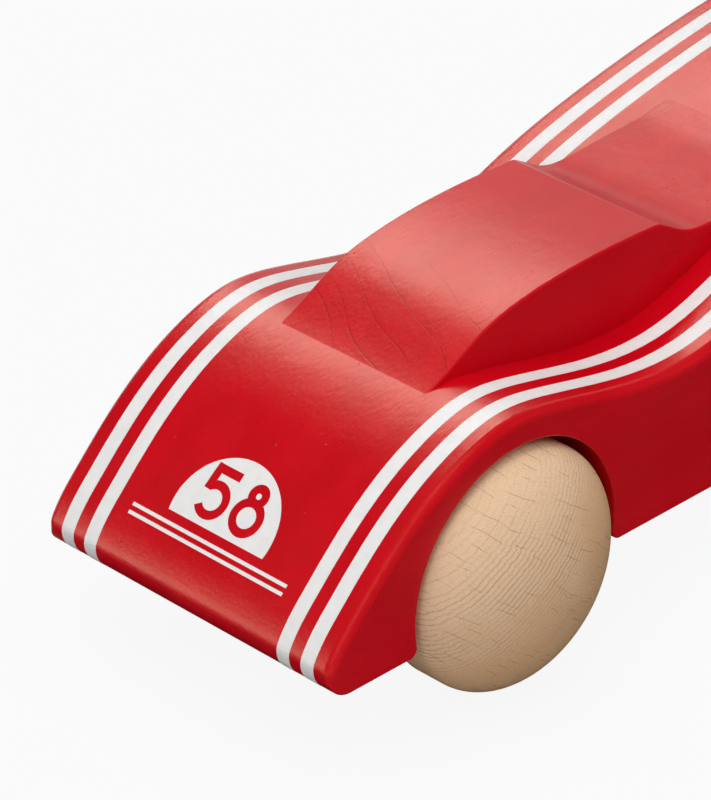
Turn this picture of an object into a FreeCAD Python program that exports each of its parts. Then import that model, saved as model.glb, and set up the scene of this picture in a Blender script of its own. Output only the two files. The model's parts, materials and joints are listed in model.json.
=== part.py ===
"""Wooden pull back car: a painted beech body on four domed beech wheels, with a motor on the rear axle.

Frame: +X is forward (the nose), +Y is the car's left, +Z is up. The origin is on the floor, under the
middle of the car's length and width. Millimetres. Each piece is written to parts/NODE.step.
"""
import FreeCAD, Part
import math
import os

from FreeCAD import Vector

# ---- Driving dimensions, overall -------------------------------------------------------------
car_length = 153.0
body_width = 50.0
underside_z = 13.0
edge_round = 1.2            # sanded round along the nose, the top line and the tail
lower_edge_round = 0.3      # eased edge along the underside and the wheel arches

wheel_radius = 16.4
wheel_inner_y = 18.0        # flat inner face of a wheel
wheel_rim_y = 23.2          # where the straight rim ends and the dome starts
wheel_crown_y = 31.6        # crown of the dome
wheel_inner_round = 1.0
wheel_crown_flat = 0.5      # radius of the small flat that the lathe leaves at the crown
front_axle_x = 44.3
rear_axle_x = -41.6
axle_z = wheel_radius

# ---- Wheel arches ----------------------------------------------------------------------------
arch_radius = 17.6
arch_floor_y = 17.0         # blind floor of each arch recess
arch_corner_round = 1.2     # round where an arch meets the underside

# ---- Side outline of the body, in X and Z ----------------------------------------------------
nose_corner_round = 3.6
nose_bottom_z = 12.0        # the underside dips between the front arches and is this low at the nose
nose_dip_span = (26.0, 60.0)
tail_top_z = 48.9
tail_corner_round = 2.6
tail_lean = math.radians(7)  # the tail panel leans, so that its foot is further forward than its top
tail_lower_round = 3.0
tail_lower_z = 17.4         # where the tail panel would meet the rising underside
upsweep_start_x = -66.0     # the underside rises from here to the tail
upsweep_round = 8.0
# Top line from nose to tail: up the wedge, over the front wheel, down at the door, up to the tail.
top_line = [
    (75.9, 17.2), (74.4, 19.3), (71.9, 22.0), (66.3, 27.5), (59.7, 32.6), (52.6, 36.2),
    (45.3, 37.95), (37.8, 37.2), (27.6, 34.9), (17.4, 33.4), (12.1, 33.5), (6.9, 34.4),
    (-5.6, 38.7), (-16.4, 41.8), (-27.4, 44.2), (-41.4, 46.6), (-57.0, 48.3),
]

# ---- Cockpit ridge ---------------------------------------------------------------------------
ridge_half_width = 12.7
ridge_edge_round = 0.3
roof_back_round = 1.5       # round along the roof's rear edge
ridge_foot_z = 28.0         # buried inside the body
# Windshield and roof, from the base on the bonnet to the roof's rear edge.
windshield_line = [
    (49.4, 37.1), (48.0, 37.56), (47.4, 37.78), (46.8, 38.03), (46.1, 38.36), (45.4, 38.7),
    (42.7, 40.15), (39.7, 41.7), (36.2, 43.1), (32.5, 44.0), (24.1, 45.1), (14.0, 45.45), (6.2, 45.3),
]
# Rear deck, from the roof's rear edge down to a level shelf that the rising tail swallows.
deck_line = [
    (6.2, 45.3), (4.5, 44.4), (2.2, 43.1), (-0.4, 42.15), (-3.5, 41.9), (-9.0, 42.2),
    (-16.5, 42.56), (-18.3, 42.69), (-19.8, 42.86), (-21.4, 43.12), (-23.0, 43.36), (-24.4, 43.55),
    (-27.0, 43.87),
]

# ---- Axles and their bearings ----------------------------------------------------------------
axle_radius = 1.5
axle_half_length = 27.0
axle_bevel = 0.3
wheel_bore_end_gap = 0.2
running_clearance = 0.05
bush_radius = 2.5
bush_inner_y = 9.0
bush_flange_radius = 4.0
bush_flange_thickness = 0.7
spacer_radius = 2.3
spacer_end_gap = 0.1
axle_slot_width = 5.0

# ---- Spring motor: gears ---------------------------------------------------------------------
gear_module = 0.6
pressure_angle = math.radians(25)
gear_addendum = 0.8 * gear_module
gear_dedendum = 1.1 * gear_module
gear_backlash = 0.08        # each tooth is this much thinner than half the pitch
axle_gear_teeth = 10
transfer_wheel_teeth = 22
transfer_pinion_teeth = 10
barrel_teeth = 28
transfer_direction = math.radians(66)    # from the rear axle to the transfer pin, from +X towards +Z
barrel_direction = math.radians(-15)     # from the transfer pin to the barrel's arbor

axle_gear_span = (3.6, 8.0)
axle_gear_hub_span = (0.0, 10.4)
axle_gear_hub_radius = 2.1
transfer_pinion_span = (-10.2, 4.0)
transfer_wheel_span = (4.0, 7.6)
transfer_hub_span = (7.6, 10.4)
transfer_hub_radius = 2.2
transfer_pin_radius = 0.8

# ---- Spring motor: barrel, arbor and mainspring ----------------------------------------------
barrel_span = (-9.6, 2.8)
barrel_gear_span = (-9.6, -5.6)
barrel_radius = 7.2
barrel_bore_radius = 6.6
barrel_floor = 1.2
lid_thickness = 0.8
lid_plug_depth = 0.6
arbor_radius = 1.4
arbor_collar_radius = 1.9
arbor_collar_span = (-8.2, 2.0)
spring_span = (-8.2, 2.0)
spring_thickness = 0.22
spring_inner_radius = 2.0
spring_outer_radius = 6.3
spring_turns = 6
spring_points_per_turn = 12

# ---- Spring motor: case and screws -----------------------------------------------------------
case_half_width = 12.0
case_wall = 1.1
case_cover_thickness = 1.2
case_gear_gap = 0.5
case_behind_axle = 7.4
case_corner_round = 1.5
case_boss_radius = 1.8
case_screw_radius = 0.8
case_screw_head_radius = 1.5
case_screw_head_depth = 0.8
case_screw_end_y = 1.2
boss_inset = 3.1            # from the case's outer faces to a corner boss
lower_boss_drop = 0.5       # the lower boss sits this much closer to the case's bottom
ear_length = 7.0
ear_width = 12.0
ear_thickness = 1.5
ear_sink = 0.2              # the ears lie in a recess, this deep inside the underside
ear_corner_round = 1.8
ear_hole_radius = 1.3
body_pocket_gap = 0.4
wood_screw_radius = 1.2
wood_screw_length = 8.0
wood_screw_head_radius = 2.2
wood_screw_head_height = 1.1
wood_screw_slot_width = 0.6
wood_screw_slot_depth = 0.5
wood_screw_head_round = 0.6
pilot_end_gap = 0.5         # the pilot hole is this much deeper than the screw

# ---- Worked out from the driving dimensions --------------------------------------------------
half_length = car_length / 2
side_y = body_width / 2
overshoot = 1.0             # a cutting solid reaches this far past the face that it opens
touching = 0.01             # tolerance when an edge is picked by its place


def pitch_radius(teeth):
    return gear_module * teeth / 2


def tip_radius(teeth):
    return pitch_radius(teeth) + gear_addendum


def polar_step(start, distance, direction):
    """Point in X and Z at a distance and direction from another."""
    return (start[0] + distance * math.cos(direction), start[1] + distance * math.sin(direction))


axle_to_transfer = pitch_radius(axle_gear_teeth) + pitch_radius(transfer_wheel_teeth)
transfer_to_barrel = pitch_radius(transfer_pinion_teeth) + pitch_radius(barrel_teeth)
rear_axle_at = (rear_axle_x, axle_z)
transfer_at = polar_step(rear_axle_at, axle_to_transfer, transfer_direction)
barrel_at = polar_step(transfer_at, transfer_to_barrel, barrel_direction)

case_back_x = rear_axle_x - case_behind_axle
case_front_x = barrel_at[0] + tip_radius(barrel_teeth) + case_gear_gap + case_wall
case_bottom_z = barrel_at[1] - tip_radius(barrel_teeth) - case_gear_gap - case_wall
case_top_z = transfer_at[1] + tip_radius(transfer_wheel_teeth) + case_gear_gap + case_wall
cover_y = case_half_width - case_cover_thickness
boss_places = [
    (case_back_x + boss_inset, case_top_z - boss_inset),
    (case_front_x - boss_inset, case_top_z - boss_inset),
    (case_front_x - boss_inset, case_bottom_z + boss_inset - lower_boss_drop),
]
ear_screw_places = [case_back_x - ear_length / 2, case_front_x + ear_length / 2]
ear_bottom_z = underside_z + ear_sink
ear_top_z = ear_bottom_z + ear_thickness


# ---- Shape helpers ---------------------------------------------------------------------------
def at(x, z, y=0.0):
    return Vector(x, y, z)


def rod(place, radius, span):
    """Round bar along Y at (x, z) = place, from span[0] to span[1]."""
    return Part.makeCylinder(radius, span[1] - span[0], at(place[0], place[1], span[0]), Vector(0, 1, 0))


def block(x_span, y_span, z_span):
    size = [span[1] - span[0] for span in (x_span, y_span, z_span)]
    return Part.makeBox(size[0], size[1], size[2], Vector(x_span[0], y_span[0], z_span[0]))


def prism(edges, span):
    """Closed outline in the XZ plane, pushed along Y from span[0] to span[1]."""
    face = Part.Face(Part.Wire(edges))
    solid = face.extrude(Vector(0, span[1] - span[0], 0))
    solid.translate(Vector(0, span[0], 0))
    return solid


def line(start, end):
    return Part.LineSegment(start, end).toShape()


def round_corner(before, corner, after, radius):
    """Tangent arc that replaces a corner: its first point, the arc as an edge, and its last point."""
    towards_before = (before - corner).normalize()
    towards_after = (after - corner).normalize()
    half_turn = towards_before.getAngle(towards_after) / 2
    reach = radius / math.tan(half_turn)
    first = corner + towards_before * reach
    last = corner + towards_after * reach
    bisector = (towards_before + towards_after).normalize()
    middle = corner + bisector * (radius / math.sin(half_turn) - radius)
    return first, Part.Arc(first, middle, last).toShape(), last


def smooth_curve(points, first_direction=None, last_direction=None):
    curve = Part.BSplineCurve()
    if first_direction is None:
        curve.interpolate(points)
    else:
        curve.interpolate(
            Points=points, InitialTangent=first_direction, FinalTangent=last_direction, Scale=False)
    return curve.toShape()


def mirrored(shape):
    """The same piece on the car's right."""
    return shape.mirror(Vector(0, 0, 0), Vector(0, 1, 0))


# ---- Body ------------------------------------------------------------------------------------
def body_outlines():
    """Side outlines of the body's blank and of the piece that is cut away from under it.

    The blank has the flowing top line and the upright tail, and runs straight down at both ends. The cut
    leaves the round under the nose, the underside and the rise below the tail.
    """
    ground = underside_z - wheel_radius
    nose_side = at(half_length, nose_bottom_z + nose_corner_round)
    nose_low = at(half_length - nose_corner_round, nose_bottom_z)
    slant = nose_corner_round * (1 - math.sqrt(0.5))
    nose_middle = at(half_length - slant, nose_bottom_z + slant)
    tail_centre = (-half_length + tail_corner_round, tail_top_z - tail_corner_round)
    turns = [math.pi / 2, 3 * math.pi / 4 + tail_lean / 2, math.pi + tail_lean]
    tail_high, tail_middle, tail_side = [
        at(*polar_step(tail_centre, tail_corner_round, turn)) for turn in turns]
    points = [nose_side] + [at(x, z) for x, z in top_line] + [tail_high]
    top = smooth_curve(points, Vector(0, 0, 1), Vector(-1, 0, 0))

    def on_tail(z):
        return at(tail_side.x + (tail_side.z - z) * math.tan(tail_lean), z)

    blank = [
        line(at(half_length, ground), nose_side),
        top,
        Part.Arc(tail_high, tail_middle, tail_side).toShape(),
        line(tail_side, on_tail(ground)),
        line(on_tail(ground), at(half_length, ground)),
    ]
    tail_low = on_tail(tail_lower_z)
    sweep = at(upsweep_start_x, underside_z)
    dip_start = at(nose_dip_span[0], underside_z)
    dip_end = at(nose_dip_span[1], nose_bottom_z)
    low_first, low_arc, low_last = round_corner(tail_side, tail_low, sweep, tail_lower_round)
    sweep_first, sweep_arc, sweep_last = round_corner(tail_low, sweep, dip_start, upsweep_round)
    outside = [
        low_first,
        at(-half_length - overshoot, low_first.z),
        at(-half_length - overshoot, ground - overshoot),
        at(half_length + overshoot, ground - overshoot),
        at(half_length + overshoot, nose_side.z),
        nose_side,
    ]
    waste = [line(start, end) for start, end in zip(outside, outside[1:])]
    waste += [
        Part.Arc(nose_side, nose_middle, nose_low).toShape(),
        line(nose_low, dip_end),
        line(dip_end, dip_start),
        line(dip_start, sweep_last),
        sweep_arc,
        line(sweep_first, low_last),
        low_arc,
    ]
    return blank, waste


def arch_cutter(axle_x, front_foot_z, span):
    """Round wheel arch, open below, with rounded corners where it meets the underside."""
    reach = arch_radius + arch_corner_round
    below = underside_z - wheel_radius
    edges = []
    touches = []
    bases = []
    for side, foot_z in ((1, front_foot_z), (-1, underside_z)):
        rise = foot_z + arch_corner_round - axle_z
        half = math.sqrt(reach ** 2 - rise ** 2)
        centre = at(axle_x + side * half, foot_z + arch_corner_round)
        touch = at(axle_x + side * half * arch_radius / reach, axle_z + rise * arch_radius / reach)
        foot = at(centre.x, foot_z)
        base = at(centre.x, below)
        towards_touch = (touch - centre).normalize()
        towards_middle = (towards_touch + Vector(0, 0, -1)).normalize()
        middle = centre + towards_middle * arch_corner_round
        edges.append(Part.Arc(foot, middle, touch).toShape())
        edges.append(line(foot, base))
        touches.append(touch)
        bases.append(base)
    crown = at(axle_x, axle_z + arch_radius)
    edges.append(Part.Arc(touches[0], crown, touches[1]).toShape())
    edges.append(line(bases[0], bases[1]))
    return prism(Part.__sortEdges__(edges), span)


def cockpit_ridge():
    """Windshield, roof and rear deck: a central ridge with upright sides and eased top edges."""
    windshield = smooth_curve([at(x, z) for x, z in windshield_line])
    deck = smooth_curve([at(x, z) for x, z in deck_line])
    front_foot = at(windshield_line[0][0], ridge_foot_z)
    back_foot = at(deck_line[-1][0], ridge_foot_z)
    edges = [
        line(front_foot, at(*windshield_line[0])),
        windshield,
        deck,
        line(at(*deck_line[-1]), back_foot),
        line(back_foot, front_foot),
    ]
    ridge = prism(edges, (-ridge_half_width, ridge_half_width))
    roof_back = at(*deck_line[0])
    back_edges = [edge for edge in ridge.Edges if (edge.CenterOfMass - roof_back).Length < touching]
    ridge = ridge.makeFillet(roof_back_round, back_edges)
    long_edges = [
        edge for edge in ridge.Edges
        if edge.BoundBox.YLength < touching and not isinstance(edge.Curve, Part.Line)
    ]
    return ridge.makeFillet(ridge_edge_round, long_edges)


def motor_pocket():
    """Pocket under the rear of the body, with a recess for the ears, a slot for the axle and pilot holes."""
    gap = body_pocket_gap
    pocket = block(
        (case_back_x - gap, case_front_x + gap),
        (-case_half_width - gap, case_half_width + gap),
        (0, case_top_z + gap),
    )
    ear_reach = ear_length + gap
    ear_half_width = ear_width / 2 + gap
    ear_recess = block(
        (case_back_x - ear_reach, case_front_x + ear_reach),
        (-ear_half_width, ear_half_width),
        (0, ear_top_z),
    )
    pocket = pocket.fuse(ear_recess)
    half_slot = axle_slot_width / 2
    slot_span = (-arch_floor_y - overshoot, arch_floor_y + overshoot)
    slot = block((rear_axle_x - half_slot, rear_axle_x + half_slot), slot_span, (0, axle_z))
    slot = slot.fuse(rod(rear_axle_at, half_slot, slot_span))
    pocket = pocket.fuse(slot)
    pilot_top_z = ear_bottom_z + wood_screw_length + pilot_end_gap
    for x in ear_screw_places:
        pocket = pocket.fuse(Part.makeCylinder(wood_screw_radius, pilot_top_z, Vector(x, 0, 0)))
    return pocket


def body():
    outline, waste = body_outlines()
    blank = prism(outline, (-side_y, side_y))
    side_edges = [
        edge for edge in blank.Edges
        if edge.BoundBox.YLength < touching and edge.BoundBox.ZMax > underside_z
    ]
    blank = blank.makeFillet(edge_round, side_edges)
    blank = blank.cut(prism(waste, (-side_y - overshoot, side_y + overshoot)))
    for axle_x, front_foot_z in ((front_axle_x, nose_bottom_z), (rear_axle_x, underside_z)):
        for span in ((arch_floor_y, side_y + overshoot), (-side_y - overshoot, -arch_floor_y)):
            blank = blank.cut(arch_cutter(axle_x, front_foot_z, span))

    def on_a_side(edge):
        return edge.BoundBox.YMin > side_y - touching or edge.BoundBox.YMax < -side_y + touching

    def low_or_arch(edge):
        is_arch = isinstance(edge.Curve, Part.Circle) and abs(edge.Curve.Radius - arch_radius) < touching
        return is_arch or edge.BoundBox.ZMax < underside_z + touching

    lower_edges = [edge for edge in blank.Edges if on_a_side(edge) and low_or_arch(edge)]
    blank = blank.makeFillet(lower_edge_round, lower_edges)
    solid = blank.fuse(cockpit_ridge())
    solid = solid.cut(rod((front_axle_x, axle_z), bush_radius, (-side_y, side_y)))
    return solid.cut(motor_pocket())


# ---- Wheels and axles ------------------------------------------------------------------------
def wheel(axle_x):
    """Left wheel: a beech disc with a straight rim, a half-ellipse dome and a blind bore."""
    bore_end = axle_half_length + wheel_bore_end_gap
    inner = wheel_inner_round
    slant = inner * (1 - math.sqrt(0.5))
    rim_in = Vector(wheel_radius - inner, wheel_inner_y, 0)
    rim_middle = Vector(wheel_radius - slant, wheel_inner_y + slant, 0)
    rim_out = Vector(wheel_radius, wheel_inner_y + inner, 0)
    dome_start = Vector(wheel_radius, wheel_rim_y, 0)
    ellipse = Part.Ellipse(dome_start, Vector(0, wheel_crown_y, 0), Vector(0, wheel_rim_y, 0))
    dome = Part.ArcOfEllipse(ellipse, 0, math.acos(wheel_crown_flat / wheel_radius)).toShape()
    flat_rim = dome.Vertexes[-1].Point
    crown = Vector(0, flat_rim.y, 0)
    edges = [
        line(Vector(axle_radius, wheel_inner_y, 0), rim_in),
        Part.Arc(rim_in, rim_middle, rim_out).toShape(),
        line(rim_out, dome_start),
        dome,
        line(flat_rim, crown),
        line(crown, Vector(0, bore_end, 0)),
        line(Vector(0, bore_end, 0), Vector(axle_radius, bore_end, 0)),
        line(Vector(axle_radius, bore_end, 0), Vector(axle_radius, wheel_inner_y, 0)),
    ]
    turned = Part.Face(Part.Wire(edges)).revolve(Vector(0, 0, 0), Vector(0, 1, 0), 360)
    turned.translate(at(axle_x, axle_z))
    return turned


def axle(axle_x):
    bar = rod((axle_x, axle_z), axle_radius, (-axle_half_length, axle_half_length))
    rims = [edge for edge in bar.Edges if isinstance(edge.Curve, Part.Circle)]
    return bar.makeChamfer(axle_bevel, rims)


def front_bush():
    """Left nylon bush: a sleeve pressed into the body and a flange that the wheel runs against."""
    place = (front_axle_x, axle_z)
    sleeve = rod(place, bush_radius, (bush_inner_y, arch_floor_y))
    flange = rod(place, bush_flange_radius, (arch_floor_y, arch_floor_y + bush_flange_thickness))
    bore = rod(place, axle_radius + running_clearance, (0, side_y))
    return sleeve.fuse(flange).removeSplitter().cut(bore)


def rear_spacer():
    """Left sleeve that keeps the driven wheel off the motor case."""
    span = (case_half_width + spacer_end_gap, wheel_inner_y - spacer_end_gap)
    return rod(rear_axle_at, spacer_radius, span).cut(
        rod(rear_axle_at, axle_radius + running_clearance, (0, side_y)))


# ---- Spring motor gears ----------------------------------------------------------------------
def involute(angle):
    return math.tan(angle) - angle


def gear(place, teeth, span, rotation):
    """Spur gear with involute flanks. At rest one tooth is centred on the rotation angle."""
    base = pitch_radius(teeth) * math.cos(pressure_angle)
    root = pitch_radius(teeth) - gear_dedendum
    tip = tip_radius(teeth)
    half_tooth = (math.pi * gear_module / 2 - gear_backlash) / (2 * pitch_radius(teeth))

    def half_angle(radius):
        """Half the angle that a tooth fills at a radius. Below the base circle the flank is radial."""
        return half_tooth + involute(pressure_angle) - involute(math.acos(min(1.0, base / radius)))

    def point(radius, angle):
        x, z = polar_step(place, radius, angle)
        return at(x, z)

    start = max(base, root)
    radii = [start, (start + tip) / 2, tip]
    if base > root:
        radii = [root] + radii
    pitch_angle = 2 * math.pi / teeth
    edges = []
    for number in range(teeth):
        centre = rotation + number * pitch_angle
        rising = [point(radius, centre - half_angle(radius)) for radius in radii]
        falling = [point(radius, centre + half_angle(radius)) for radius in reversed(radii)]
        next_foot = point(root, centre + pitch_angle - half_angle(radii[0]))
        edges.append(smooth_curve(rising))
        edges.append(Part.Arc(rising[-1], point(tip, centre), falling[0]).toShape())
        edges.append(smooth_curve(falling))
        edges.append(Part.Arc(falling[-1], point(root, centre + pitch_angle / 2), next_foot).toShape())
    return prism(edges, span)


def meshing_rotation(direction, teeth):
    """Rotation that puts a gap, not a tooth, towards the driving gear. direction points away from it."""
    return direction + math.pi + math.pi / teeth


def axle_gear():
    toothed = gear(rear_axle_at, axle_gear_teeth, axle_gear_span, transfer_direction)
    hub = rod(rear_axle_at, axle_gear_hub_radius, axle_gear_hub_span)
    return toothed.fuse(hub).cut(rod(rear_axle_at, axle_radius, (-side_y, side_y)))


def transfer_gear():
    """Large wheel driven by the axle gear, in one piece with the pinion that drives the barrel."""
    wheel_rotation = meshing_rotation(transfer_direction, transfer_wheel_teeth)
    large = gear(transfer_at, transfer_wheel_teeth, transfer_wheel_span, wheel_rotation)
    small = gear(transfer_at, transfer_pinion_teeth, transfer_pinion_span, barrel_direction)
    hub = rod(transfer_at, transfer_hub_radius, transfer_hub_span)
    bore = rod(transfer_at, transfer_pin_radius + running_clearance, (-side_y, side_y))
    return large.fuse(small).fuse(hub).cut(bore)


def transfer_pin():
    return rod(transfer_at, transfer_pin_radius, (-case_half_width, case_half_width))


# ---- Barrel, arbor and mainspring ------------------------------------------------------------
def spring_barrel():
    """Toothed drum, open towards the lid, that holds the mainspring."""
    rotation = meshing_rotation(barrel_direction, barrel_teeth)
    drum = rod(barrel_at, barrel_radius, barrel_span)
    drum = drum.fuse(gear(barrel_at, barrel_teeth, barrel_gear_span, rotation))
    drum = drum.cut(rod(barrel_at, barrel_bore_radius, (barrel_span[0] + barrel_floor, side_y)))
    return drum.cut(rod(barrel_at, arbor_radius + running_clearance, (-side_y, side_y)))


def barrel_lid():
    top_y = barrel_span[1]
    disc = rod(barrel_at, barrel_radius, (top_y, top_y + lid_thickness))
    plug = rod(barrel_at, barrel_bore_radius - running_clearance, (top_y - lid_plug_depth, top_y))
    return disc.fuse(plug).cut(rod(barrel_at, arbor_radius + running_clearance, (-side_y, side_y)))


def spring_arbor():
    """Fixed shaft that the barrel turns on, with a collar that the spring's inner end is wound on."""
    shaft = rod(barrel_at, arbor_radius, (-case_half_width, case_half_width))
    return shaft.fuse(rod(barrel_at, arbor_collar_radius, arbor_collar_span))


def mainspring():
    """Flat steel strip wound in an even spiral between the arbor's collar and the drum."""
    steps = spring_turns * spring_points_per_turn
    growth = (spring_outer_radius - spring_inner_radius) / steps

    def spiral(offset):
        points = []
        for step in range(steps + 1):
            angle = 2 * math.pi * step / spring_points_per_turn
            x, z = polar_step(barrel_at, spring_inner_radius + growth * step + offset, angle)
            points.append(at(x, z))
        return points

    inner = spiral(0)
    outer = spiral(spring_thickness)
    edges = [
        smooth_curve(inner),
        line(inner[-1], outer[-1]),
        smooth_curve(outer),
        line(outer[0], inner[0]),
    ]
    return prism(Part.__sortEdges__(edges), spring_span)


# ---- Motor case and screws -------------------------------------------------------------------
def case_block(y_span, inset=0.0):
    """The case's outer block, or its inside when inset by the wall, with rounded corners."""
    solid = block(
        (case_back_x + inset, case_front_x - inset),
        y_span,
        (case_bottom_z + inset, case_top_z - inset),
    )
    corners = [edge for edge in solid.Edges if edge.BoundBox.YLength > 0.5 * (y_span[1] - y_span[0])]
    return solid.makeFillet(case_corner_round - inset / 2, corners)


def case_holes():
    """Holes along Y for the rear axle, the pinned transfer pin, the arbor and the case screws."""
    through = (-side_y, side_y)
    holes = rod(rear_axle_at, axle_radius + running_clearance, through)
    holes = holes.fuse(rod(transfer_at, transfer_pin_radius, through))
    holes = holes.fuse(rod(barrel_at, arbor_radius, through))
    for place in boss_places:
        holes = holes.fuse(rod(place, case_screw_radius, (case_screw_end_y, side_y)))
    return holes


def mounting_ear(side, wall_x, screw_x):
    """Flat ear rooted in a wall of the case, and its screw hole. side is 1 at the front, -1 at the back."""
    half = ear_width / 2
    ends = [wall_x - side * case_wall, wall_x + side * ear_length]
    ear = block((min(ends), max(ends)), (-half, half), (ear_bottom_z, ear_top_z))
    outer = [
        edge for edge in ear.Edges
        if abs(edge.CenterOfMass.x - ends[1]) < touching and edge.BoundBox.YLength < touching
    ]
    ear = ear.makeFillet(ear_corner_round, outer)
    return ear, Part.makeCylinder(ear_hole_radius, ear_top_z + overshoot, Vector(screw_x, 0, 0))


def motor_case_base():
    """Cup of the motor case, with three screw bosses inside and two mounting ears."""
    shell = case_block((-case_half_width, cover_y))
    inside = (-case_half_width + case_wall, cover_y)
    shell = shell.cut(case_block((inside[0], inside[1] + overshoot), case_wall))
    for place in boss_places:
        shell = shell.fuse(rod(place, case_boss_radius, inside))
    back_ear, back_hole = mounting_ear(-1, case_back_x, ear_screw_places[0])
    front_ear, front_hole = mounting_ear(1, case_front_x, ear_screw_places[1])
    shell = shell.fuse(back_ear).fuse(front_ear).removeSplitter()
    return shell.cut(case_holes()).cut(front_hole).cut(back_hole)


def motor_case_cover():
    """Flat lid of the motor case, with sunk screw heads."""
    plate = case_block((cover_y, case_half_width)).cut(case_holes())
    for place in boss_places:
        head_span = (case_half_width - case_screw_head_depth, side_y)
        plate = plate.cut(rod(place, case_screw_head_radius, head_span))
    return plate


def case_screws():
    """Three screws that close the motor case."""
    head_y = case_half_width - case_screw_head_depth
    screws = []
    for place in boss_places:
        shank = rod(place, case_screw_radius, (case_screw_end_y, head_y))
        screws.append(shank.fuse(rod(place, case_screw_head_radius, (head_y, case_half_width))))
    return Part.makeCompound(screws)


def motor_screws():
    """Two slotted wood screws that hold the motor in the body."""
    screws = []
    for x in ear_screw_places:
        head_bottom = ear_bottom_z - wood_screw_head_height
        shank = Part.makeCylinder(wood_screw_radius, wood_screw_length, Vector(x, 0, ear_bottom_z))
        head = Part.makeCylinder(wood_screw_head_radius, wood_screw_head_height, Vector(x, 0, head_bottom))
        lower_rim = [edge for edge in head.Edges if edge.BoundBox.ZMax < head_bottom + touching]
        head = head.makeFillet(wood_screw_head_round, lower_rim)
        half = wood_screw_slot_width / 2
        reach = wood_screw_head_radius + overshoot
        slot = block((x - half, x + half), (-reach, reach), (0, head_bottom + wood_screw_slot_depth))
        screws.append(shank.fuse(head).cut(slot))
    return Part.makeCompound(screws)


# ---- All pieces ------------------------------------------------------------------------------
def all_pieces():
    pieces = {
        "body": body(),
        "front_axle": axle(front_axle_x),
        "rear_axle": axle(rear_axle_x),
        "axle_gear": axle_gear(),
        "transfer_gear": transfer_gear(),
        "transfer_pin": transfer_pin(),
        "spring_barrel": spring_barrel(),
        "barrel_lid": barrel_lid(),
        "spring_arbor": spring_arbor(),
        "mainspring": mainspring(),
        "motor_case_base": motor_case_base(),
        "motor_case_cover": motor_case_cover(),
        "case_screws": case_screws(),
        "motor_screws": motor_screws(),
    }
    pairs = {
        "wheel_front": wheel(front_axle_x),
        "wheel_rear": wheel(rear_axle_x),
        "front_bush": front_bush(),
        "rear_spacer": rear_spacer(),
    }
    for name, left in pairs.items():
        pieces[name + "_left"] = left
        pieces[name + "_right"] = mirrored(left)
    return pieces


os.makedirs("parts", exist_ok=True)
for node, shape in all_pieces().items():
    shape.exportStep("parts/" + node + ".step")
    print(node, "solids", len(shape.Solids), "valid", shape.isValid(), "volume", round(shape.Volume, 1))
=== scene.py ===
"""Looks of the wooden pull back car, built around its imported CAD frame.

Metres. +X is forward (the nose), +Y is the car's left, +Z is up, and the floor is z = 0.
"""
import json
import math

import bmesh
import bpy
import numpy as np
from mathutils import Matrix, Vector
from mathutils.geometry import delaunay_2d_cdt


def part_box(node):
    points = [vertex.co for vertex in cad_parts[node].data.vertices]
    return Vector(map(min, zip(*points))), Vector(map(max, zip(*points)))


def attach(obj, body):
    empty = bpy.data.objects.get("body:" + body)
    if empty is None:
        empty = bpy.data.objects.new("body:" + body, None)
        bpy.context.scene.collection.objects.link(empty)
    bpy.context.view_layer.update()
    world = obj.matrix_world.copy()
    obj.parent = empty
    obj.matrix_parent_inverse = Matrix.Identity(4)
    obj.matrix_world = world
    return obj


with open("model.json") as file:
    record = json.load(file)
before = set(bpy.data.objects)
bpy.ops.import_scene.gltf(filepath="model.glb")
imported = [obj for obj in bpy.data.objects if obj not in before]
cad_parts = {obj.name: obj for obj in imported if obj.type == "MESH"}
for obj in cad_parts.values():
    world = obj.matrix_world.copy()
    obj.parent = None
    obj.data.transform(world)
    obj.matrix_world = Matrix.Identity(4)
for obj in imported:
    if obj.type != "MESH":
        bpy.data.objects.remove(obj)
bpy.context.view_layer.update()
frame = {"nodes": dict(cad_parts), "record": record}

nodes = frame["nodes"]
MM = 0.001

# ---- Printed graphics, in millimetres ----------------------------------------------------------
print_thickness = 0.03       # how far a printed layer stands above the lacquer
print_root = 0.06            # how far it reaches into the body, so that it never lifts off
profile_y = 14.5             # plane beside the cockpit ridge where the body's outline is read
stripe_bands = [(16.0, 18.11), (20.07, 22.22)]
stripe_foot_z = 20.4         # the stripes end here on the tail panel

panel_base_z = 22.6          # height of the number panel's straight edge on the nose
panel_radius = 8.35
panel_centre_above_base = 1.65
panel_facets = 96
pinstripe_half_length = 13.5
pinstripe_bands = [(-1.72, -1.25), (-2.82, -2.35)]   # along the nose, from the panel's straight edge

digit_height = 7.2
digit_stroke = 1.2
digit_width = 5.2
digit_gap = 0.75
digit_baseline = 0.85
digit_facets = 40
five_stem_inset = 1.25       # the stem's top, from the digit's left side
five_arm_short = 0.35        # how far the arm ends before the digit's right side
five_bowl = (-145, 138)      # degrees round the bowl
five_stem_foot = (-0.12, -0.35)   # the stem's foot, from the bowl's upper end

# ---- Windshield grooves, in millimetres --------------------------------------------------------
groove_span_x = ((29.0, 34.0), (48.2, 47.4))   # they fade in over the first pair, out over the second
groove_half_width = (12.6, 12.3)               # they end between these distances from the middle
groove_slant = 0.45                            # how far forward a groove runs per unit to the left
groove_foot_x = 50.0
groove_spacing = 0.76                          # in square roots of the distance from the foot
groove_shift = -0.35
groove_edges = (0.02, 0.11)                    # groove and its painted shade full up to the first distance, gone at the second

# ---- Beech, in millimetres ---------------------------------------------------------------------
ring_spacing = 0.68
ring_step_width = 0.72       # the rings jump sideways once per this width
ring_step = 0.20
ring_wander = 1.2
ring_fade = (8.0, 13.0)      # the rings grow faint between these heights above the wheel's middle
ray_spacing = 1.25
ray_sway = 1.6

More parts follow.
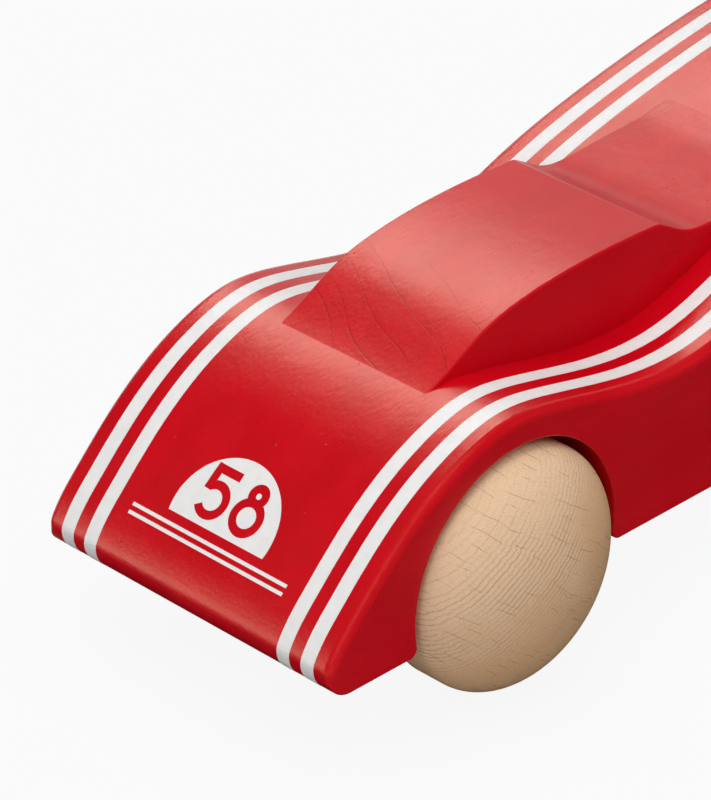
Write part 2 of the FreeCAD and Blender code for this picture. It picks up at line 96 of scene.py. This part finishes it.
# ---- Camera ------------------------------------------------------------------------------------
aim_point = (47.3, 0.0, 31.476)          # what the camera and the lights aim at
camera_distance = 579.32
camera_pitch = math.radians(30.0938)
camera_azimuth = math.radians(45.0961)   # from the nose towards the car's left side
camera_lens = 211.79
camera_sensor = 36.0

# ---- Lacquer -----------------------------------------------------------------------------------
lacquer_roughness = 0.245
roughness_spread = 0.02
warm_gloss = (1.0, 0.91, 0.62, 1.0)

# ---- Stage and light, in metres ----------------------------------------------------------------
paper_white = 0.956          # linear value of the backdrop and the floor
floor_bounce = 0.45          # how much light the floor throws back on the car
ambient = 0.42
contact_shade = 0.05
contact_reach = 0.02
floor_size = 6.0
white_behind = ((-0.03, -0.05), (0.085, 0.06))   # the mirrored floor turns white over these y and x
white_ahead = (0.115, 0.15)                      # and over this x


# ---- Node graphs -------------------------------------------------------------------------------
class Graph:
    """Adds and wires the nodes of one tree. A value may be a number, a colour or another node's socket."""

    def __init__(self, tree):
        self.tree = tree

    def put(self, socket, value):
        if isinstance(value, bpy.types.NodeSocket):
            self.tree.links.new(value, socket)
        else:
            socket.default_value = value

    def add(self, kind, inputs=None, output=0, **settings):
        node = self.tree.nodes.new("ShaderNode" + kind)
        for name, value in settings.items():
            setattr(node, name, value)
        for name, value in (inputs or {}).items():
            self.put(node.inputs[name], value)
        return node.outputs[output]

    def math(self, operation, first, second=0.0, third=0.0):
        return self.add("Math", {0: first, 1: second, 2: third}, operation=operation)

    def plus(self, first, second):
        return self.math("ADD", first, second)

    def minus(self, first, second):
        return self.math("SUBTRACT", first, second)

    def times(self, first, *others):
        for other in others:
            first = self.math("MULTIPLY", first, other)
        return first

    def over(self, first, second):
        return self.math("DIVIDE", first, second)

    def line(self, value, factor, offset):
        return self.math("MULTIPLY_ADD", value, factor, offset)

    def vector(self, operation, first, second=(0.0, 0.0, 0.0), output=0):
        return self.add("VectorMath", {0: first, 1: second}, output, operation=operation)

    def scaled(self, place, factors):
        return self.vector("MULTIPLY", place, factors)

    def along(self, place, axis):
        return self.vector("DOT_PRODUCT", place, tuple(axis), 1)

    def split(self, place):
        node = self.tree.nodes.new("ShaderNodeSeparateXYZ")
        self.put(node.inputs[0], place)
        return node.outputs[0], node.outputs[1], node.outputs[2]

    def join(self, x, y, z=0.0):
        return self.add("CombineXYZ", {0: x, 1: y, 2: z})

    def noise(self, place, scale=1.0, detail=2.0, roughness=0.5):
        return self.add("TexNoise", {
            "Vector": place, "Scale": scale, "Detail": detail, "Roughness": roughness})

    def swing(self, place, scale, detail, size):
        """Noise about zero, of a given size."""
        return self.times(self.minus(self.noise(place, scale, detail), 0.5), size)

    def voronoi(self, place, scale=1.0):
        return self.add("TexVoronoi", {"Vector": place, "Scale": scale})

    def random(self, number):
        return self.add("TexWhiteNoise", {"W": number}, noise_dimensions="1D")

    def ease(self, value, low, high, start=0.0, end=1.0):
        """start below low, end above high, and a smooth step between."""
        return self.add("MapRange", {0: value, 1: low, 2: high, 3: start, 4: end},
                        interpolation_type="SMOOTHSTEP")

    def blend(self, factor, first, second):
        node = self.tree.nodes.new("ShaderNodeMix")
        node.data_type = "RGBA"
        self.put(node.inputs[0], factor)
        self.put(node.inputs[6], first)
        self.put(node.inputs[7], second)
        return node.outputs[2]

    def bump(self, height, depth_mm, normal=None):
        inputs = {"Height": height, "Distance": depth_mm * MM, "Strength": 1.0}
        if normal is not None:
            inputs["Normal"] = normal
        return self.add("Bump", inputs)


class Finish(Graph):
    """A material with one Principled shader, and the piece's own coordinates in millimetres."""

    def __init__(self, name):
        self.material = bpy.data.materials.new(name)
        self.material.use_nodes = True
        super().__init__(self.material.node_tree)
        self.shader = self.tree.nodes["Principled BSDF"]
        self.place = self.scaled(self.add("TexCoord", output=3), (1 / MM, 1 / MM, 1 / MM))

    def set(self, **values):
        for name, value in values.items():
            self.put(self.shader.inputs[name.replace("_", " ").title().replace("Ior", "IOR")], value)
        return self.material


def rgb(red, green, blue):
    return (red, green, blue, 1.0)


# ---- Materials ---------------------------------------------------------------------------------
def grooves(look):
    """Thin wavy lines where growth rings of the beech cross the windshield: 1 in a groove, else 0.

    The lines run slantwise over the windshield, and lie closer together towards its foot. red_lacquer uses
    the mask for the grooves' shallow bump, and also darkens the lacquer colour in them as painted shade.
    """
    x, y, _ = look.split(look.place)
    slant = look.plus(look.line(y, -groove_slant, x), look.swing(look.place, 0.085, 0.0, 5.0))
    from_foot = look.math("MAXIMUM", look.minus(groove_foot_x, slant), 0.0)
    root = look.math("SQRT", from_foot)
    ring = look.line(root, 1 / groove_spacing, groove_shift)
    off_ring = look.math("ABSOLUTE", look.minus(ring, look.math("ROUND", ring)))
    distance = look.times(off_ring, root, 1.4)
    near, far = groove_edges
    line = look.times(look.ease(distance, near, far, 1.0, 0.0), look.ease(root, 0.5, 0.8))
    faint = look.ease(look.noise(look.place, 0.22, 2.0), 0.34, 0.58, 0.25, 1.0)
    windshield = look.times(look.ease(x, *groove_span_x[0]), look.ease(x, *groove_span_x[1]))
    on_ridge = look.ease(look.math("ABSOLUTE", y), *groove_half_width)
    return look.times(line, faint, windshield, on_ridge)


def lacquer_relief(look):
    """Beech showing through lacquer: fibres along the car, short pores and specks of dust."""
    fibres = look.noise(look.scaled(look.place, (0.30, 2.6, 2.6)), detail=4.0, roughness=0.6)
    pores = look.ease(look.voronoi(look.scaled(look.place, (1.1, 4.0, 4.0))), 0.05, 0.22)
    patch = look.noise(look.place, 0.09, 2.0)
    level = look.noise(look.place, 0.30, 3.0)
    dust = look.ease(look.voronoi(look.place, 0.42), 0.03, 0.075, 1.0, 0.0)
    normal = look.bump(fibres, 0.042)
    normal = look.bump(pores, 0.007, normal)
    normal = look.bump(level, 0.05, normal)
    normal = look.bump(dust, 0.04, normal)
    roughness = look.ease(patch, 0.35, 0.65, lacquer_roughness - roughness_spread,
                          lacquer_roughness + roughness_spread)
    return normal, roughness


def red_lacquer():
    look = Finish("red_lacquer")
    normal, roughness = lacquer_relief(look)
    tone = look.noise(look.scaled(look.place, (0.03, 0.16, 0.16)), detail=3.0)
    colour = look.blend(look.ease(tone, 0.3, 0.7), rgb(0.54, 0.0008, 0.0078), rgb(0.60, 0.0012, 0.0098))
    groove_and_painted_shade = grooves(look)
    # Painted shade: the grooves are also darkened in colour, besides their shallow bump below.
    colour = look.blend(look.times(groove_and_painted_shade, 0.55), colour, rgb(0.20, 0.0, 0.003))
    normal = look.bump(groove_and_painted_shade, -0.008, normal)
    return look.set(base_color=colour, roughness=roughness, normal=normal, specular_tint=warm_gloss)


def white_print():
    look = Finish("white_print")
    normal, roughness = lacquer_relief(look)
    tone = look.noise(look.place, 0.6, 4.0)
    colour = look.blend(look.ease(tone, 0.3, 0.7), rgb(0.775, 0.765, 0.75), rgb(0.815, 0.80, 0.785))
    return look.set(base_color=colour, roughness=roughness, normal=normal, specular_ior_level=0.12)


def turned_beech(name, centre, ring_axis, ray_axis, seed):
    """Turned beech: stepped growth rings across one axis, thin dark rays across another, and fine pores.

    The first axis is the direction in which the rings follow each other. The rays are thin sheets that
    stand across the second axis.
    """
    look = Finish(name)
    centred = look.vector("SUBTRACT", look.place, tuple(c / MM for c in centre))
    ring_axis = Vector(ring_axis).normalized()
    ray_axis = Vector(ray_axis).normalized()
    fibre_axis = ring_axis.cross(ray_axis).normalized()
    across = look.plus(look.along(centred, ring_axis), seed)
    along = look.plus(look.along(centred, ray_axis), seed)
    fibre = look.along(centred, fibre_axis)
    grain = look.join(across, along, fibre)
    height = look.minus(across, seed)

    # Rings: a slow wander, and small sideways steps. Each ring has its own darkness.
    wander = look.swing(grain, 0.06, 2.0, ring_wander)
    column = look.over(look.plus(along, look.times(look.noise(grain, 0.4), 0.6)), ring_step_width)
    step = look.times(look.random(look.math("FLOOR", column)), ring_step)
    ring = look.over(look.plus(look.plus(across, wander), step), ring_spacing)
    phase = look.math("FRACT", ring)
    strength = look.random(look.math("FLOOR", ring))
    line = look.times(look.ease(phase, 0.62, 0.92), look.ease(phase, 0.92, 1.0, 1.0, 0.0))
    line = look.times(line, look.line(strength, 0.6, 0.4))
    line = look.times(line, look.ease(look.noise(grain, 0.10, 2.0), 0.34, 0.56, 0.3, 1.0))
    line = look.times(line, look.ease(height, *ring_fade, 1.0, 0.3))

    # Rays: dark threads, each broken into long dashes.
    sway = look.times(look.noise(grain, 0.16), ray_sway)
    ray_place = look.over(look.plus(along, sway), ray_spacing)
    ray_cell = look.math("FLOOR", ray_place)
    offset = look.line(look.random(look.plus(ray_cell, 17.0)), 0.7, 0.15)
    ray_distance = look.math("ABSOLUTE", look.minus(look.math("FRACT", ray_place), offset))
    ray_line = look.ease(ray_distance, 0.01, 0.045, 1.0, 0.0)
    dash_place = look.join(look.times(across, 0.28), look.times(ray_cell, 3.7), look.times(fibre, 0.2))
    ray = look.times(ray_line, look.ease(look.noise(dash_place, detail=4.0), 0.48, 0.62))

    # Colour: pale and dark clouds, partly random and partly painted light: the beech is painted paler with
    # height along the ring axis, as if lit from that side, and darker away from it. Then rings, flecks,
    # pores and rays over them.
    flecks = look.ease(look.voronoi(look.scaled(grain, (0.9, 3.2, 3.2))), 0.08, 0.26, 1.0, 0.0)
    pores = look.noise(look.scaled(grain, (2.2, 5.0, 5.0)), detail=3.0, roughness=0.7)
    pale_clouds_and_painted_light = look.ease(look.plus(height, look.swing(grain, 0.085, 2.0, 22.0)), -6.0, 10.0)
    # Painted light: the pale colour stands for the lit side of the wheel, the darker one for its shaded
    # side.
    base = look.blend(pale_clouds_and_painted_light, rgb(0.69, 0.42, 0.225), rgb(0.79, 0.545, 0.35))
    base = look.blend(look.times(line, 0.88), base, rgb(0.36, 0.215, 0.11))
    base = look.blend(look.times(flecks, 0.34), base, rgb(0.38, 0.21, 0.10))
    base = look.blend(look.times(look.ease(pores, 0.48, 0.70), 0.30), base, rgb(0.42, 0.255, 0.14))
    base = look.blend(look.times(ray, 0.5), base, rgb(0.22, 0.12, 0.055))
    normal = look.bump(line, -0.01)
    normal = look.bump(ray, -0.03, normal)
    normal = look.bump(pores, 0.02, normal)
    return look.set(base_color=base, roughness=0.55, specular_ior_level=0.3, normal=normal)


def metal(name, dark, light, stretch, roughness, depth=0.004):
    """Metal with fine tool marks that are stretched along one direction."""
    look = Finish(name)
    marks = look.noise(look.scaled(look.place, stretch), detail=4.0, roughness=0.6)
    stain = look.noise(look.place, 0.5, 3.0)
    colour = look.blend(look.ease(stain, 0.3, 0.7), dark, light)
    rough = look.ease(marks, 0.3, 0.7, roughness * 0.8, roughness * 1.25)
    return look.set(base_color=colour, metallic=1.0, roughness=rough, normal=look.bump(marks, depth))


def plastic(name, dark, light, grain, roughness, depth):
    """Moulded plastic with a fine texture and slow flow marks."""
    look = Finish(name)
    texture = look.noise(look.place, grain, 2.0)
    flow = look.noise(look.scaled(look.place, (0.25, 0.06, 0.25)), detail=2.0)
    colour = look.blend(look.ease(flow, 0.3, 0.7), dark, light)
    rough = look.ease(texture, 0.3, 0.7, roughness * 0.9, roughness * 1.1)
    return look.set(base_color=colour, roughness=rough, normal=look.bump(texture, depth))


def dress(node, material):
    """Gives a CAD node its finished material."""
    mesh = nodes[node].data
    mesh.materials.clear()
    mesh.materials.append(material)


# ---- Surface of the body, for the printed graphics ---------------------------------------------
def skin_profile():
    """The body's outline from under the nose, over the top and down the tail: (x, z) points in metres."""
    cut = bmesh.new()
    cut.from_mesh(nodes["body"].data)
    bmesh.ops.remove_doubles(cut, verts=cut.verts, dist=0.001 * MM)
    whole = cut.verts[:] + cut.edges[:] + cut.faces[:]
    bmesh.ops.bisect_plane(cut, geom=whole, plane_co=(0, profile_y * MM, 0), plane_no=(0, 1, 0),
                           clear_inner=True, clear_outer=True)
    bmesh.ops.remove_doubles(cut, verts=cut.verts, dist=0.002 * MM)
    floor_z = min(vert.co.z for vert in cut.verts)
    flat = [vert for vert in cut.verts if vert.co.z < floor_z + 0.01 * MM]
    here = max(flat, key=lambda vert: vert.co.x)
    before = None
    points = []
    while here is not None and (here.co.x > 0 or here.co.z > stripe_foot_z * MM):
        points.append((here.co.x, here.co.z))
        around = [edge.other_vert(here) for edge in here.link_edges]
        ahead = [vert for vert in around if vert is not before and vert not in flat]
        before = here
        here = ahead[0] if ahead else None
    cut.free()
    return np.array(points)


class Skin:
    """Arc length along the body's outline, with the place and the outward normal at each length."""

    def __init__(self, points):
        steps = np.diff(points, axis=0)
        lengths = np.hypot(steps[:, 0], steps[:, 1])
        self.points = points
        self.arc = np.concatenate([[0.0], np.cumsum(lengths)])
        across = np.stack([steps[:, 1], -steps[:, 0]], axis=1) / lengths[:, None]
        bent = np.vstack([across[:1], across[:-1] + across[1:], across[-1:]])
        self.normals = bent / np.linalg.norm(bent, axis=1)[:, None]

    def at(self, length, height):
        """(x, z) at an arc length, raised by a height along the normal."""
        place = [np.interp(length, self.arc, self.points[:, axis]) for axis in (0, 1)]
        normal = [np.interp(length, self.arc, self.normals[:, axis]) for axis in (0, 1)]
        return place[0] + height * normal[0], place[1] + height * normal[1]

    def knots(self, start, end):
        """The outline's own arc lengths between two others, with both ends."""
        inside = self.arc[(self.arc > start) & (self.arc < end)]
        return np.concatenate([[start], inside, [end]])

    def length_on_nose(self, z):
        """Arc length where the nose first reaches a height."""
        index = int(np.argmax(self.points[:, 1] > z))
        low, high = self.points[index - 1, 1], self.points[index, 1]
        return self.arc[index - 1] + (z - low) / (high - low) * (self.arc[index] - self.arc[index - 1])


def new_piece(name, mesh, body, material):
    """Links a finished mesh as a piece of the model."""
    piece = bpy.data.objects.new(name, mesh)
    bpy.context.scene.collection.objects.link(piece)
    mesh.materials.append(material)
    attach(piece, body)
    return piece


def printed_layer(name, corners, triangles, material):
    """Closed thin layer on the body. corners are (arc length, y), and triangles turn anticlockwise.

    The lacquer beside it doesn't mirror it.
    """
    mesh = bmesh.new()
    top = []
    bottom = []
    for length, y in corners:
        for side, height in ((top, print_thickness), (bottom, -print_root)):
            x, z = skin.at(length, height * MM)
            side.append(mesh.verts.new((x, y, z)))
    borders = {}
    for face in triangles:
        mesh.faces.new([top[corner] for corner in face])
        mesh.faces.new([bottom[corner] for corner in reversed(face)])
        for start, end in zip(face, face[1:] + face[:1]):
            borders.pop((end, start), None) or borders.setdefault((start, end), True)
    for start, end in borders:
        mesh.faces.new((bottom[start], bottom[end], top[end], top[start]))
    bmesh.ops.recalc_face_normals(mesh, faces=mesh.faces)
    data = bpy.data.meshes.new(name)
    mesh.to_mesh(data)
    mesh.free()
    layer = new_piece(name, data, "car", material)
    layer.visible_glossy = False
    return layer


def printed_band(name, start, end, y_low, y_high, material):
    """Straight printed band that follows the outline between two arc lengths."""
    lengths = skin.knots(start, end)
    corners = [(length, y * MM) for length in lengths for y in (y_low, y_high)]
    faces = []
    for row in range(len(lengths) - 1):
        first = 2 * row
        faces.append([first, first + 1, first + 3, first + 2])
    return printed_layer(name, corners, faces, material)


# ---- Number panel ------------------------------------------------------------------------------
def ring_sector(centre, radius, start, end):
    """Bent bar of the digits' stroke around a centre, as quads. Degrees, anticlockwise."""
    facets = digit_facets
    turns = [math.radians(start + (end - start) * step / facets) for step in range(facets + 1)]
    sides = [[(centre[0] + reach * math.cos(turn), centre[1] + reach * math.sin(turn)) for turn in turns]
             for reach in (radius - digit_stroke / 2, radius + digit_stroke / 2)]
    return [[sides[0][i], sides[1][i], sides[1][i + 1], sides[0][i + 1]] for i in range(facets)]


def bar(start, end):
    """Straight bar of the digits' stroke between two points, as one quad."""
    start, end = Vector(start), Vector(end)
    along = (end - start).normalized() * digit_stroke / 2
    across = Vector((-along.y, along.x))
    return [[tuple(start - across), tuple(end - across), tuple(end + across), tuple(start + across)]]


def digit_five(left, base):
    half = digit_stroke / 2
    bowl = digit_width / 2 - half
    centre = (left + digit_width / 2, base + bowl + half)
    stem = left + five_stem_inset
    top = base + digit_height - half
    join = math.radians(five_bowl[1])
    foot = (centre[0] + bowl * math.cos(join) + five_stem_foot[0],
            centre[1] + bowl * math.sin(join) + five_stem_foot[1])
    return (ring_sector(centre, bowl, *five_bowl)
            + bar((stem, top), (left + digit_width - five_arm_short, top))
            + bar((stem, top + half), foot))


def digit_eight(left, base):
    half = digit_stroke / 2
    lower = digit_width / 2 - half
    upper = (digit_height - digit_stroke - 2 * lower) / 2
    middle = left + digit_width / 2
    low_centre = (middle, base + half + lower)
    high_centre = (middle, base + digit_height - half - upper)
    return ring_sector(low_centre, lower, 0, 360) + ring_sector(high_centre, upper, 0, 360)


def number_panel(material):
    """White panel on the nose: a round with a straight lower edge, and two open digits in it."""
    base = skin.length_on_nose(panel_base_z * MM)
    reach = math.asin(panel_centre_above_base / panel_radius)
    turns = [-reach + (math.pi + 2 * reach) * step / panel_facets for step in range(panel_facets + 1)]
    outline = [(panel_radius * math.cos(turn), panel_centre_above_base + panel_radius * math.sin(turn))
               for turn in turns]
    shapes = [outline]
    shapes += digit_five(-digit_gap / 2 - digit_width, digit_baseline)
    shapes += digit_eight(digit_gap / 2, digit_baseline)
    places = []
    faces = []
    for shape in shapes:
        faces.append(list(range(len(places), len(places) + len(shape))))
        places += shape
    edges = []
    top = panel_centre_above_base + panel_radius
    for length in skin.knots(base, base + top * MM)[1:-1]:
        v = (length - base) / MM
        edges.append((len(places), len(places) + 1))
        places += [(-panel_radius, v), (panel_radius, v)]
    # The triangles inside the panel's outline, which is shape 0, and outside the digits are kept.
    inside_faces = 1
    tolerance = 1e-5
    verts, _, pieces, _, _, owners = delaunay_2d_cdt(
        [Vector(place) for place in places], edges, faces, inside_faces, tolerance)
    kept = [list(face) for face, owner in zip(pieces, owners) if set(owner) == {0}]
    used = sorted({corner for face in kept for corner in face})
    number = {corner: index for index, corner in enumerate(used)}
    corners = [(base + verts[corner].y * MM, verts[corner].x * MM) for corner in used]
    triangles = [[number[corner] for corner in face] for face in kept]
    printed_layer("number_panel", corners, triangles, material)
    for index, (low, high) in enumerate(pinstripe_bands):
        half = pinstripe_half_length
        printed_band(f"pinstripe_{index + 1}", base + low * MM, base + high * MM, -half, half, material)


# ---- Build -------------------------------------------------------------------------------------
skin = Skin(skin_profile())
red = red_lacquer()
white = white_print()
dress("body", red)
for index, (low, high) in enumerate(stripe_bands):
    place = ("inner", "outer")[index]
    printed_band(f"stripe_{place}_left", 0.0, skin.arc[-1], low, high, white)
    printed_band(f"stripe_{place}_right", 0.0, skin.arc[-1], -high, -low, white)
number_panel(white)

# How each wheel was cut from its blank: ring axis, ray axis, and an offset along both. The ring axis also
# points to the side of the wheel that is painted paler, as painted light.
wheel_cuts = {
    "wheel_front_left": ((0.605, 0.06, 0.795), (-0.62, 0.0, 0.78), 0.0),
    "wheel_front_right": ((-0.35, 0.30, 0.88), (0.93, 0.05, 0.36), 31.0),
    "wheel_rear_left": ((0.80, 0.42, -0.42), (0.45, 0.0, 0.89), 57.0),
    "wheel_rear_right": ((0.12, -0.62, 0.77), (0.98, 0.0, -0.18), 83.0),
}
for wheel, cut in wheel_cuts.items():
    low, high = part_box(wheel)
    dress(wheel, turned_beech(wheel + "_beech", (low + high) / 2, *cut))

steel = metal("axle_steel", rgb(0.50, 0.50, 0.51), rgb(0.62, 0.62, 0.63), (6.0, 0.3, 6.0), 0.30)
zinc = metal("zinc_steel", rgb(0.55, 0.56, 0.58), rgb(0.68, 0.69, 0.70), (3.0, 3.0, 3.0), 0.35)
brass = metal("cut_brass", rgb(0.62, 0.42, 0.15), rgb(0.72, 0.52, 0.22), (2.0, 6.0, 2.0), 0.28)
blued = metal("blued_spring", rgb(0.08, 0.10, 0.17), rgb(0.13, 0.15, 0.22), (0.5, 5.0, 0.5), 0.30)
nylon = plastic("natural_nylon", rgb(0.74, 0.72, 0.62), rgb(0.82, 0.80, 0.72), 3.0, 0.42, 0.004)
acetal = plastic("acetal", rgb(0.72, 0.70, 0.60), rgb(0.80, 0.78, 0.70), 2.0, 0.35, 0.003)
case = plastic("case_abs", rgb(0.012, 0.012, 0.014), rgb(0.022, 0.022, 0.025), 5.0, 0.45, 0.012)
finishes = {
    "axle_steel": steel, "zinc_steel": zinc, "brass": brass, "spring_steel": blued,
    "nylon": nylon, "gear_plastic": acetal, "case_plastic": case,
}
for part in frame["record"]["subparts"]:
    if part["material_slot"] in finishes:
        dress(part["node"], finishes[part["material_slot"]])


# ---- Stage -------------------------------------------------------------------------------------
def paper_floor():
    """Plain pale floor: paper white to the eye, with a faint contact shade.

    In reflections it is white only behind the car's right side and well ahead of its nose.
    """
    half = floor_size / 2
    sheet = bmesh.new()
    corners = [sheet.verts.new((x * half, y * half, 0.0)) for x, y in ((-1, -1), (1, -1), (1, 1), (-1, 1))]
    sheet.faces.new(corners)
    data = bpy.data.meshes.new("floor")
    sheet.to_mesh(data)
    sheet.free()
    floor = bpy.data.objects.new("floor", data)
    bpy.context.scene.collection.objects.link(floor)
    material = bpy.data.materials.new("paper_floor")
    material.use_nodes = True
    graph = Graph(material.node_tree)
    graph.tree.nodes.clear()
    shade = graph.add("AmbientOcclusion", {"Distance": contact_reach}, 1, samples=8)
    glow = graph.ease(shade, 0.0, 1.0, paper_white * (1 - contact_shade), paper_white)
    seen = graph.add("Emission", {"Color": graph.join(glow, glow, glow), "Strength": 1.0})
    lit = graph.add("BsdfDiffuse", {"Color": rgb(floor_bounce, floor_bounce, floor_bounce)})
    x, y, _ = graph.split(graph.add("NewGeometry"))
    behind = graph.times(graph.ease(y, *white_behind[0]), graph.ease(x, *white_behind[1]))
    white = graph.math("MAXIMUM", behind, graph.ease(x, *white_ahead))
    mirrored = graph.add("Emission", {"Color": rgb(1.0, 1.0, 1.0), "Strength": white})
    path = graph.tree.nodes.new("ShaderNodeLightPath")
    other = graph.add("MixShader", {0: path.outputs["Is Glossy Ray"], 1: lit, 2: mirrored})
    surface = graph.add("MixShader", {0: path.outputs["Is Camera Ray"], 1: other, 2: seen})
    output = graph.tree.nodes.new("ShaderNodeOutputMaterial")
    graph.put(output.inputs[0], surface)
    data.materials.append(material)


def backdrop():
    """White room: paper white to the eye, soft ambient light on surfaces, and dark in reflections."""
    world = bpy.data.worlds.new("studio")
    bpy.context.scene.world = world
    world.use_nodes = True
    world.cycles_visibility.glossy = False
    graph = Graph(world.node_tree)
    graph.tree.nodes.clear()
    path = graph.tree.nodes.new("ShaderNodeLightPath")
    level = graph.ease(path.outputs["Is Camera Ray"], 0.0, 1.0, ambient, paper_white)
    glow = graph.add("Background", {"Color": rgb(1.0, 1.0, 1.0), "Strength": level})
    output = graph.tree.nodes.new("ShaderNodeOutputWorld")
    graph.put(output.inputs[0], glow)


def softbox(name, direction, distance, width, height, brightness, mirrored):
    """Area light of a given brightness, aimed at the car from a direction.

    A mirrored one only shows as a reflection in glossy surfaces, and any other only lights them softly.
    """
    light = bpy.data.lights.new(name, "AREA")
    light.shape = "RECTANGLE"
    light.size = width
    light.size_y = height
    light.energy = brightness * width * height * math.pi
    lamp = bpy.data.objects.new(name, light)
    bpy.context.scene.collection.objects.link(lamp)
    away = Vector(direction).normalized()
    lamp.location = Vector(aim_point) * MM + away * distance
    lamp.rotation_euler = away.to_track_quat("Z", "Y").to_euler()
    lamp.visible_glossy = mirrored
    lamp.visible_diffuse = not mirrored


def camera():
    away = Vector((math.cos(camera_pitch) * math.cos(camera_azimuth),
                   math.cos(camera_pitch) * math.sin(camera_azimuth), math.sin(camera_pitch)))
    data = bpy.data.cameras.new("camera")
    data.lens = camera_lens
    data.sensor_width = camera_sensor
    data.clip_start = 0.01
    data.clip_end = 20.0
    eye = bpy.data.objects.new("camera", data)
    eye.location = Vector(aim_point) * MM + away * camera_distance * MM
    eye.rotation_euler = away.to_track_quat("Z", "Y").to_euler()
    bpy.context.scene.collection.objects.link(eye)
    bpy.context.scene.camera = eye


paper_floor()
backdrop()
camera()

# Name, direction, distance, width, height, brightness, and whether it is only mirrored.
softboxes = [
    ("key", (0.66, 0.48, 0.58), 2.2, 1.28, 1.28, 3.1, False),
    ("side_fill", (-0.60, 0.68, 0.42), 2.0, 0.9, 0.9, 1.5, False),
    ("top_light", (0.12, 0.10, 1.0), 1.1, 0.6, 0.6, 4.8, False),
    ("rear_overhead_card", (-0.382, -0.61, 0.691), 3.0, 1.4, 0.76, 5.2, True),
    ("overhead_card", (-0.190, -0.61, 0.769), 0.9, 0.40, 0.20, 1.1, True),
    ("rear_right_card", (-0.716, -0.61, 0.334), 1.0, 0.80, 0.75, 0.66, True),
    ("far_card", (-0.34, -0.90, 0.20), 1.0, 0.7, 0.30, 0.9, True),
    ("front_low_card", (0.785, -0.61, 0.055), 1.0, 0.50, 0.20, 3.3, True),
    ("front_middle_card", (0.75, -0.61, 0.24), 1.0, 0.50, 0.20, 1.2, True),
]
for box in softboxes:
    softbox(*box)
bpy.context.scene.view_settings.view_transform = "Standard"
